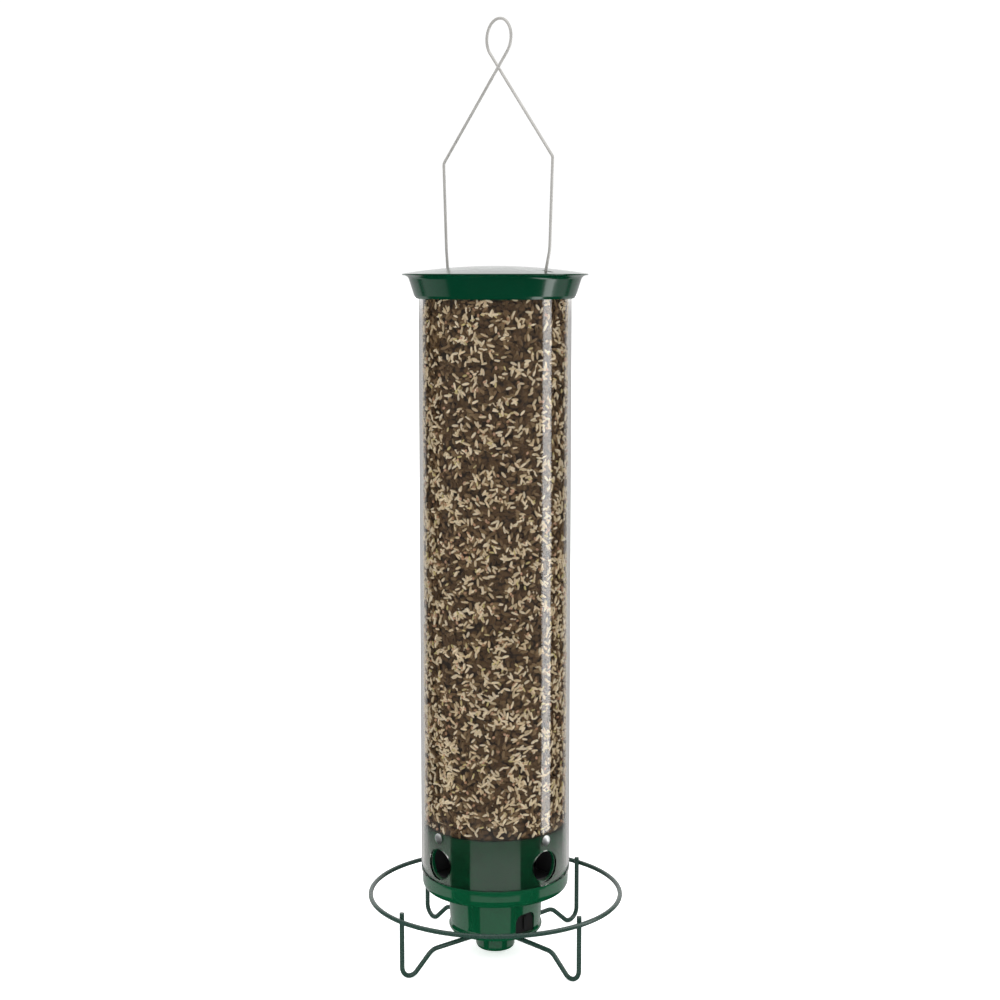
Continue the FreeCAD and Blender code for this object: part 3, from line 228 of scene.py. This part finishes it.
def coated_wire():
    """Dark green powder coat on the perch's wire, a little thin on the crowns of its pebbled skin."""
    finish = Finish("coated_wire", {"IOR": 1.5})
    pebble = finish.mottle(0.0009, 3.0)
    worn = finish.fade(finish.mottle(0.011, 6.0), 0.62, 0.7) * finish.fade(pebble, 0.5, 0.7)
    coat = finish.blend(colour(0.01, 0.03, 0.022), colour(0.02, 0.05, 0.038), pebble)
    finish.set({"Base Color": finish.blend(coat, colour(0.2, 0.21, 0.2), worn * 0.6)})
    finish.set({"Metallic": worn * 0.5})
    finish.set({"Roughness": 0.2 + 0.16 * pebble})
    finish.relief(pebble, 0.00004)
    return finish


def bail_steel():
    """Drawn spring wire: bare, with a warm dull film and fine drawing marks."""
    finish = Finish("bail_steel", {"Metallic": 0.5})
    film = finish.mottle(0.02, 6.0)
    marks = finish.mottle(0.0006, 3.0, (1, 1, 30))
    finish.set({"Base Color": finish.blend(colour(0.56, 0.55, 0.53), colour(0.4, 0.39, 0.37), film)})
    finish.set({"Roughness": 0.36 + 0.2 * marks})
    finish.relief(marks, 0.00001)
    return finish


def turned_metal(name, bright, dull, roughness):
    """Bare metal with a film that comes and goes, and fine marks from the lathe or the drawing die."""
    finish = Finish(name, {"Metallic": 1.0})
    film = finish.mottle(0.005, 5.0)
    marks = finish.mottle(0.0003, 2.0, (8, 8, 1))
    finish.set({"Base Color": finish.blend(colour(*bright), colour(*dull), film)})
    finish.set({"Roughness": roughness + 0.15 * marks})
    finish.relief(marks, 0.000008)
    return finish


def zinc_steel():
    """Plated sheet and bolts, in faint crystals of slightly different greys."""
    finish = Finish("zinc_steel", {"Metallic": 1.0})
    crystal = finish.cells(0.003, "Distance")
    finish.set({"Base Color": finish.blend(colour(0.6, 0.61, 0.62), colour(0.44, 0.45, 0.47), crystal)})
    finish.set({"Roughness": 0.28 + 0.2 * crystal})
    finish.relief(finish.mottle(0.0008, 3.0), 0.00001)
    return finish


def grained(name, dark, light, roughness, grain, depth):
    """A moulded matt surface with a fine spark-eroded or rubbery grain."""
    finish = Finish(name, {"IOR": 1.48})
    skin = finish.mottle(grain, 3.0)
    finish.set({"Base Color": finish.blend(colour(*dark), colour(*light), skin)})
    finish.set({"Roughness": roughness + 0.2 * finish.mottle(grain * 12, 5.0)})
    finish.relief(skin, depth)
    return finish


def cell_sleeve():
    """Shrink sleeve on a battery cell: blue with a pale band at its upper end."""
    finish = Finish("cell_sleeve", {"IOR": 1.48})
    low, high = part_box("battery_cell_1")
    level = finish.node("ShaderNodeSeparateXYZ", {}, {"Vector": finish.place}, "Z")
    band = level > high.z - 0.2 * (high.z - low.z)
    crease = finish.mottle(0.004, 4.0, (1, 1, 4))
    blue = finish.blend(colour(0.02, 0.07, 0.2), colour(0.03, 0.1, 0.27), crease)
    finish.set({"Base Color": finish.blend(blue, colour(0.7, 0.7, 0.68), band)})
    finish.set({"Roughness": 0.25 + 0.15 * crease})
    finish.relief(crease, 0.00006)
    return finish


def board_green():
    """Solder mask over a glass-fibre board, with the tracks just showing through it."""
    finish = Finish("board_green", {"IOR": 1.5, "Coat Weight": 0.4})
    weave = finish.mottle(0.0006, 2.0, (4, 1, 1))
    track = finish.fade(finish.cells(0.003, "Distance", (3, 1, 1)), 0.5, 0.56)
    mask = finish.blend(colour(0.01, 0.09, 0.03), colour(0.02, 0.13, 0.05), weave)
    finish.set({"Base Color": finish.blend(mask, colour(0.06, 0.24, 0.09), track)})
    finish.set({"Roughness": 0.3 + 0.15 * weave})
    finish.relief(track, 0.00003)
    return finish


def mixed_seed():
    """Husks and grains: each has its own tint, a papery streak along it and a dull skin."""
    finish = Finish("mixed_seed", {"IOR": 1.45})
    tint = finish.node("ShaderNodeAttribute", {"attribute_name": "tint"}, {}, "Color")
    streak = finish.mottle(0.0007, 3.0)
    shade = finish.fade(streak, 0.4, 0.85) * 0.25
    finish.set({"Base Color": finish.blend(tint, colour(0.16, 0.11, 0.06), shade)})
    finish.set({"Roughness": 0.5 + 0.2 * streak})
    finish.relief(streak, 0.00015)
    return finish


def seed_bed():
    """The dark husks that lie behind the grains at the tube's wall, with painted shade in the gaps between
    them.
    """
    finish = Finish("seed_bed", {"IOR": 1.45, "Roughness": 0.75})
    husk = finish.cells(0.0042, "Distance", (1, 1, 0.8))
    tone = finish.mottle(0.009, 4.0)
    dark = finish.blend(colour(0.075, 0.04, 0.016), colour(0.16, 0.095, 0.043), tone)
    # Painted shade: near black towards the edge of each husk cell, where the gaps between husks fall into
    # shadow.
    finish.set({"Base Color": finish.blend(dark, colour(0.03, 0.017, 0.008), finish.fade(husk, 0.35, 0.75))})
    finish.relief(1 - husk, 0.0012)
    return finish


FINISHES = {
    "clear_tube": clear_tube(),
    "green_plastic": green_plastic(),
    "green_cap": green_cap(),
    "coated_wire": coated_wire(),
    "bail_steel": bail_steel(),
    "bright_screws": turned_metal("bright_screws", (0.95, 0.96, 0.95), (0.84, 0.86, 0.85), 0.45),
    "ground_steel": turned_metal("ground_steel", (0.62, 0.62, 0.61), (0.5, 0.5, 0.49), 0.2),
    "bronze": turned_metal("bronze", (0.62, 0.4, 0.18), (0.4, 0.24, 0.1), 0.25),
    "zinc_steel": zinc_steel(),
    "black_plastic": grained(
        "black_plastic", (0.008, 0.008, 0.009), (0.02, 0.02, 0.021), 0.35, 0.0005, 0.00003
    ),
    "black_rubber": grained(
        "black_rubber", (0.003, 0.003, 0.003), (0.006, 0.006, 0.006), 0.7, 0.0008, 0.00003
    ),
    "white_nylon": grained("white_nylon", (0.74, 0.73, 0.68), (0.8, 0.79, 0.74), 0.35, 0.0007, 0.00001),
    "cell_sleeve": cell_sleeve(),
    "board_green": board_green(),
    "mixed_seed": mixed_seed(),
    "seed_bed": seed_bed(),
}


def finish_cad_nodes():
    for part in frame["record"]["subparts"]:
        mesh = frame["nodes"][part["node"]].data
        mesh.materials.clear()
        mesh.materials.append(FINISHES[part["material_slot"]].material)


# ---------------------------------------------------------------- seed

GRAIN_SIDES = 5
GRAIN_RINGS = 4
WALL_GAP = 0.1 * MILLIMETRE
CORE_SUNK = 2.6 * MILLIMETRE
TOP_DROP = 2.2 * MILLIMETRE
# How many grains and husks lie against the wall in each band of its height, and on top.
BANDS = 4
LOWEST_BAND_GRAINS = 2300
FEWER_PER_BAND = 230
BAND_HUSKS = 2200
TOP_GRAINS = 1500
CREAM = ((0.86, 0.72, 0.5), (0.95, 0.83, 0.62), (0.78, 0.63, 0.41))
STRAW = ((0.72, 0.62, 0.28), (0.76, 0.64, 0.33))
ROSY = ((0.68, 0.42, 0.28), (0.56, 0.33, 0.2))
HUSK = ((0.13, 0.075, 0.032), (0.2, 0.125, 0.06), (0.085, 0.046, 0.018), (0.27, 0.18, 0.092))


def grain_pattern():
    """One grain lying along X, a metre long and thick, to be scaled where it goes."""
    bm = bmesh.new()
    bmesh.ops.create_uvsphere(bm, u_segments=GRAIN_SIDES, v_segments=GRAIN_RINGS, radius=0.5)
    bmesh.ops.rotate(bm, matrix=Matrix.Rotation(math.pi / 2, 3, "Y"), verts=bm.verts)
    for face in bm.faces:
        face.smooth = True
    pattern = bpy.data.meshes.new("grain_pattern")
    bm.to_mesh(pattern)
    bm.free()
    pattern.attributes.new("tint", "FLOAT_COLOR", "POINT")
    return pattern


def scatter(name, pattern, places):
    """One piece holding a copy of the pattern at each place, each in its own tint."""
    bm = bmesh.new()
    tints = pattern.attributes["tint"].data
    for matrix, tint in places:
        tints.foreach_set("color", (*tint, 1.0) * len(pattern.vertices))
        pattern.transform(matrix)
        bm.from_mesh(pattern)
        pattern.transform(matrix.inverted())
    mesh = bpy.data.meshes.new(name)
    bm.to_mesh(mesh)
    bm.free()
    piece(name, mesh, "mixed_seed")


def piece(name, mesh, finish):
    """A new object that stays with the feeder's body."""
    made = bpy.data.objects.new(name, mesh)
    bpy.context.scene.collection.objects.link(made)
    mesh.materials.append(FINISHES[finish].material)
    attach(made, "feeder")
    return made


def crowd(angle, level):
    """How thickly pale grains lie at a spot of the wall, 0 to 1: in drifts, and more so low down."""
    spot = Vector((math.cos(angle), math.sin(angle), level / seed_radius))
    drift = noise.noise(spot * 4.2) + 0.6 * noise.noise(spot * 9.5 + Vector((7, 0, 0)))
    depth = (seed_high.z - level) / (seed_high.z - base_high.z)
    return min(1, max(0.04, 0.36 + 0.22 * depth + 0.75 * drift))


def lay_on_wall(rng, angle, level, length, width, thickness, inset):
    """The matrix that lays a grain against the inside of the tube's wall, turned at random."""
    tilt = rng.uniform(-0.22, 0.22)
    reach = seed_radius - WALL_GAP - thickness / 2 - abs(math.sin(tilt)) * length / 2 - inset
    turn = rng.uniform(0, math.pi)
    return (
        Matrix.Rotation(angle, 4, "Z")
        @ Matrix.Translation((reach, 0, level))
        @ Matrix.Rotation(turn, 4, "X")
        @ Matrix.Rotation(math.pi / 2 + tilt, 4, "Z")
        @ Matrix.Diagonal((length, thickness, width, 1))
    )


def pale_grain(rng):
    """Size and tint of one pale grain: mostly long cream ones, some straw and small rosy ones."""
    pick = rng.random()
    if pick < 0.8:
        return rng.uniform(5.0, 7.4), rng.uniform(2.0, 2.7), rng.choice(CREAM)
    if pick < 0.88:
        return rng.uniform(4.0, 5.0), rng.uniform(1.6, 2.2), rng.choice(STRAW)
    return rng.uniform(2.6, 3.6), rng.uniform(2.0, 2.6), rng.choice(ROSY)


def wall_grains(name, pattern, low, high, count, seed):
    """Pale grains against the wall between two levels."""
    rng = random.Random(seed)
    places = []
    while len(places) < count:
        angle, level = rng.uniform(0, math.tau), rng.uniform(low, high)
        if rng.random() > crowd(angle, level):
            continue
        length, width, tint = pale_grain(rng)
        length, width = length * MILLIMETRE, width * MILLIMETRE
        inset = rng.uniform(0, 1.1) * MILLIMETRE
        spread = rng.uniform(0.85, 1.1)
        tint = tuple(c * spread for c in tint)
        places.append((lay_on_wall(rng, angle, level, length, width, width * 0.8, inset), tint))
    scatter(name, pattern, places)


def wall_husks(name, pattern, low, high, count, seed):
    """Dark husks against the wall, behind and between the pale grains."""
    rng = random.Random(seed)
    places = []
    for _ in range(count):
        angle, level = rng.uniform(0, math.tau), rng.uniform(low, high)
        length, width = rng.uniform(5.0, 8.0) * MILLIMETRE, rng.uniform(2.4, 3.4) * MILLIMETRE
        inset = rng.uniform(0.5, 1.4) * MILLIMETRE
        tint = rng.choice(HUSK)
        places.append((lay_on_wall(rng, angle, level, length, width, width * 0.6, inset), tint))
    scatter(name, pattern, places)


def top_grains(pattern, seed):
    """Seed lying on the top of the fill, seen when the cap is off."""
    rng = random.Random(seed)
    places = []
    for number in range(TOP_GRAINS):
        reach = (seed_radius - 4 * MILLIMETRE) * math.sqrt(rng.random())
        length, width, tint = pale_grain(rng)
        if number % 2:
            length, width, tint = 6.5, 2.9, rng.choice(HUSK)
        size = (length * MILLIMETRE, width * MILLIMETRE, width * 0.8 * MILLIMETRE)
        place = (
            Matrix.Rotation(rng.uniform(0, math.tau), 4, "Z")
            @ Matrix.Translation((reach, 0, seed_high.z - TOP_DROP))
            @ Matrix.Rotation(rng.uniform(0, math.tau), 4, "Z")
            @ Matrix.Rotation(rng.uniform(-0.3, 0.3), 4, "Y")
            @ Matrix.Diagonal((*size, 1))
        )
        places.append((place, tint))
    scatter("seed_top", pattern, places)


def seed_core():
    """The inside of the fill, a little smaller than its space, which backs the grains at the wall."""
    collar_step = base_high.z + 0.5 * MILLIMETRE
    narrow = seed_radius - 8 * MILLIMETRE
    profile = [
        (0, seed_low.z),
        (narrow, seed_low.z),
        (narrow, collar_step),
        (seed_radius - CORE_SUNK, collar_step),
        (seed_radius - CORE_SUNK, seed_high.z - CORE_SUNK),
        (0, seed_high.z - CORE_SUNK),
    ]
    bm = bmesh.new()
    verts = [bm.verts.new((reach, 0, level)) for reach, level in profile]
    edges = [bm.edges.new(pair) for pair in zip(verts, verts[1:])]
    bmesh.ops.spin(
        bm,
        geom=verts + edges,
        cent=(0, 0, 0),
        axis=(0, 0, 1),
        angle=math.tau,
        steps=96,
        use_merge=True,
    )
    bmesh.ops.remove_doubles(bm, verts=bm.verts, dist=1e-6)
    bmesh.ops.recalc_face_normals(bm, faces=bm.faces)
    mesh = bpy.data.meshes.new("seed_core")
    bm.to_mesh(mesh)
    bm.free()
    core = piece("seed_core", mesh, "seed_bed")
    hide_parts("seed_fill")


def seed():
    seed_core()
    pattern = grain_pattern()
    foot = base_high.z + CORE_SUNK
    head = seed_high.z - CORE_SUNK
    rise = (head - foot) / BANDS
    for band in range(BANDS):
        low = foot + band * rise
        count = LOWEST_BAND_GRAINS - FEWER_PER_BAND * band
        wall_grains(f"seed_grains_{band + 1}", pattern, low, low + rise, count, 100 + band)
        wall_husks(f"seed_husks_{band + 1}", pattern, low, low + rise, BAND_HUSKS, 200 + band)
    top_grains(pattern, 300)
    bpy.data.meshes.remove(pattern)


# ---------------------------------------------------------------- studio

LAMP_WIDTH = 0.1
LAMP_HEIGHT = 0.73
LAMP_LEVEL = 0.39
LAMP_ASIDE = 0.337
LAMP_AHEAD = 0.072
LAMP_POWER = 0.9
VIEW_DISTANCE = 1.5
VIEW_LENS = 64.9
AIM_ASIDE = 4 * MILLIMETRE
AIM_SHARE = 0.4986


def floor():
    """A wide pale floor under the feet. Mirror-like surfaces reflect the studio's surround in its place."""
    bm = bmesh.new()
    bmesh.ops.create_grid(bm, x_segments=1, y_segments=1, size=30)
    mesh = bpy.data.meshes.new("floor")
    bm.to_mesh(mesh)
    bm.free()
    made = bpy.data.objects.new("floor", mesh)
    bpy.context.scene.collection.objects.link(made)
    pale = Finish("pale_floor", {"Base Color": colour(0.9, 0.9, 0.9), "Roughness": 0.9, "IOR": 1.2})
    pale.set({"Emission Color": colour(1, 1, 1), "Emission Strength": 0.55})
    mesh.materials.append(pale.material)
    made.visible_glossy = False
    made.visible_transmission = False


def past_a_matt_surface(nodes):
    """1 for light that has met a matt surface on its way, 0 for straight, mirrored and refracted light."""
    return nodes.node("ShaderNodeLightPath", output="Diffuse Depth") > 0.5


def surround():
    """Even light for matt surfaces. Mirrors see pale walls behind, a grey one in front and dark gaps."""
    world = bpy.data.worlds.new("studio_surround")
    bpy.context.scene.world = world
    world.use_nodes = True
    nodes = Nodes(world.node_tree)
    background = world.node_tree.nodes["Background"]
    direction = nodes.node("ShaderNodeTexCoord", output="Generated")
    level = nodes.node("ShaderNodeSeparateXYZ", {}, {"Vector": direction}, "Z")
    sockets = {0: direction, 1: towards_view}
    ahead = nodes.node("ShaderNodeVectorMath", {"operation": "DOT_PRODUCT"}, sockets, "Value")
    ahead = ahead / (1 - level * level) ** 0.5

    def within(wide, narrow):
        """1 up to the narrow angle from the view, fading to 0 at the wide one."""
        return nodes.fade(ahead, math.cos(math.radians(wide)), math.cos(math.radians(narrow)))

    skyline = 0.5 + 0.7 * nodes.fade(level, -0.03, 0.0)
    upper = 0.08 * within(93, 88) + skyline * (1 - within(133, 128))
    lower = 0.42 * within(41, 38) + 0.6 * (1 - within(76, 72))
    walls = lower + nodes.fade(level, -0.325, -0.29) * (upper - lower)
    walls = 0.01 + walls * nodes.fade(level, -0.53, -0.47)
    light = walls + nodes.fade(level, 0.55, 0.75) * (1.2 - walls)
    light = light + past_a_matt_surface(nodes) * (1.6 - light)
    seen = nodes.node("ShaderNodeLightPath", output="Is Camera Ray")
    nodes.join(background.inputs["Strength"], light + seen * (1.05 - light))
    background.inputs["Color"].default_value = colour(1, 1, 1)


def strip_light():
    """A tall narrow lamp that lights no matt surface. It makes the bright line along the tube."""
    lamp = bpy.data.lights.new("strip", "AREA")
    lamp.shape = "RECTANGLE"
    lamp.size = LAMP_WIDTH
    lamp.size_y = LAMP_HEIGHT
    lamp.energy = LAMP_POWER
    lamp.use_nodes = True
    nodes = Nodes(lamp.node_tree)
    emission = lamp.node_tree.nodes["Emission"]
    nodes.join(emission.inputs["Strength"], 1 - past_a_matt_surface(nodes))
    made = bpy.data.objects.new("strip", lamp)
    bpy.context.scene.collection.objects.link(made)
    place = right_of_view * LAMP_ASIDE + towards_view * LAMP_AHEAD
    made.location = place + Vector((0, 0, LAMP_LEVEL))
    made.rotation_mode = "QUATERNION"
    made.rotation_quaternion = (-place).to_track_quat("-Z", "Y")
    made.visible_camera = False
    made.visible_diffuse = False


def camera():
    """A long-lensed camera level with the cap, looking a little down at the feeder's middle."""
    view = bpy.data.cameras.new("view")
    view.lens = VIEW_LENS
    view.sensor_width = 36.0
    made = bpy.data.objects.new("view", view)
    bpy.context.scene.collection.objects.link(made)
    aim = right_of_view * AIM_ASIDE + Vector((0, 0, feeder_top * AIM_SHARE))
    made.location = towards_view * VIEW_DISTANCE + Vector((0, 0, tube_high.z + 5 * MILLIMETRE))
    made.rotation_mode = "QUATERNION"
    made.rotation_quaternion = (aim - made.location).to_track_quat("-Z", "Y")
    bpy.context.scene.camera = made


finish_cad_nodes()
seed()
floor()
surround()
strip_light()
camera()
bpy.context.scene.view_settings.view_transform = "Standard"
